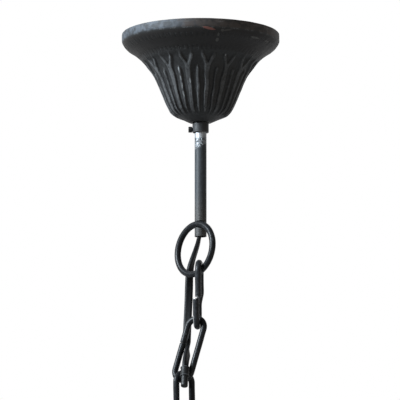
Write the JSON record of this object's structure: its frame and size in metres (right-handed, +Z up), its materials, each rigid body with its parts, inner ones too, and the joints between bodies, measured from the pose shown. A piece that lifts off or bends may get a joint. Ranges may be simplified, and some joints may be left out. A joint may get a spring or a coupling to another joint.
{
  "type": "pendant lamp upper suspension",
  "caption": "Bell-shaped cast ceiling canopy with forked ribs, sliding collar, hanging tube, wire ring, open chain links and a flat twin flex.",
  "frame": {"origin": "centre of the ceiling plane that the canopy's rim and the strap's feet lie against", "axes": "+Z up into the ceiling, -Y towards the near side, +X to the right seen from there"},
  "size_m": [0.1334, 0.1334, 0.3436],
  "materials": {
    "canopy_paint": "worn satin black paint on cast metal",
    "collar_paint": "satin black",
    "tube_paint": "satin black paint, worn to bare metal under the collar",
    "chain_paint": "worn satin black over steel wire",
    "dark_steel": "darkened steel",
    "plated_steel": "dull zinc plate",
    "nut_brass": "aged brass",
    "pale_moulding": "aged pale moulding",
    "flex_sheath": "matt black sheath",
    "fitting_black": "black moulding",
    "core_brown": "brown insulation",
    "core_blue": "blue insulation"
  },
  "bodies": {
    "stem": {"ceiling_strap": "plated_steel", "washer_upper": "plated_steel", "washer_lower": "plated_steel", "tube_nut_upper": "nut_brass", "tube_nut_lower": "nut_brass", "down_tube": "tube_paint", "cord_grip": "pale_moulding", "grip_screw": "plated_steel", "terminal_block": "pale_moulding", "block_screw": "plated_steel", "sleeve_brown": "nut_brass", "sleeve_blue": "nut_brass", "terminal_screw_brown_1": "plated_steel", "terminal_screw_brown_2": "plated_steel", "terminal_screw_blue_1": "plated_steel", "terminal_screw_blue_2": "plated_steel", "core_brown": "core_brown", "core_blue": "core_blue", "flex_in_tube": "flex_sheath"},
    "collar": {"canopy_collar": "collar_paint"},
    "canopy_shell": {"canopy": "canopy_paint"},
    "clamp_screw": {"set_screw": "dark_steel"},
    "ring": {"hanging_ring": "chain_paint", "flex_at_ring": "flex_sheath"},
    "first_link": {"link_1": "chain_paint", "flex_at_link_1": "flex_sheath"},
    "second_link": {"link_2": "chain_paint", "flex_at_link_2": "flex_sheath"},
    "third_link": {"link_3": "chain_paint", "flex_fitting": "fitting_black"}
  },
  "joints": [
    {"name": "collar_slide", "type": "slide", "parent": "stem", "child": "collar", "axis": [0, 0, -1], "range_m": [0, 0.07]},
    {"name": "canopy_turn", "type": "hinge", "parent": "collar", "child": "canopy_shell", "pos_m": [0, 0, -0.0756], "axis": [0, 0, 1], "continuous": true},
    {"name": "set_screw_travel", "type": "slide", "parent": "collar", "child": "clamp_screw", "axis": [-1, 0, 0], "range_m": [0, 0.003]},
    {"name": "ring_swing", "type": "hinge", "parent": "stem", "child": "ring", "pos_m": [-0.00241, -0.00218, -0.1624], "axis": [-0.6686, 0.7429, 0.0329], "range_deg": [-25, 45], "deforming": ["flex_at_ring"]},
    {"name": "link_1_swing", "type": "hinge", "parent": "ring", "child": "first_link", "pos_m": [0.00287, -0.01446, -0.20049], "axis": [0.5785, -0.5333, 0.6172], "range_deg": [-40, 4], "deforming": ["flex_at_link_1"]},
    {"name": "link_2_swing", "type": "hinge", "parent": "first_link", "child": "second_link", "pos_m": [-0.0031, -0.01287, -0.24846], "axis": [-0.1252, -0.8895, 0.4394], "range_deg": [-20, 40], "deforming": ["flex_at_link_2"]},
    {"name": "link_3_swing", "type": "hinge", "parent": "second_link", "child": "third_link", "pos_m": [-0.01084, -0.01499, -0.29253], "axis": [-0.7493, 0.3281, -0.5752], "range_deg": [-40, 2]}
  ]
}
